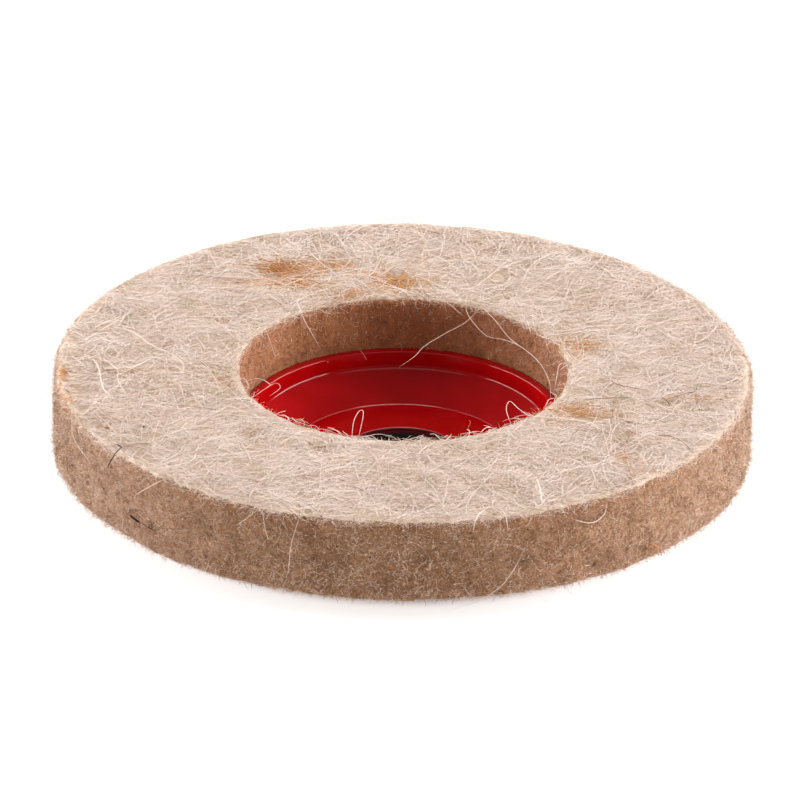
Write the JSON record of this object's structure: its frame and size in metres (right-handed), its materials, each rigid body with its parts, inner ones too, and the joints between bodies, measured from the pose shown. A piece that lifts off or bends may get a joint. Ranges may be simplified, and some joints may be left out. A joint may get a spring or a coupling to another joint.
{
  "type": "felt polishing wheel",
  "caption": "Flat ring of pressed wool felt bonded to a red moulded plastic backing plate with a sunken hub and a plain bore, for polishing on an angle grinder.",
  "frame": {"origin": "on the spindle axis, at the hub's back face, which is the lowest face of the wheel", "axes": "+Z along the spindle axis, from the back of the hub towards the felt's working face; X and Y lie in the plane of the wheel"},
  "size_m": [0.1, 0.1, 0.016],
  "materials": {
    "wool_felt": "matted wool fibre, cream with stray brown and rust fibres",
    "red_plastic": "glossy as moulded",
    "cured_adhesive": "amber, satin"
  },
  "bodies": {
    "root": {"felt_ring": "wool_felt", "backing_plate": "red_plastic", "adhesive_ring": "cured_adhesive"}
  },
  "joints": []
}
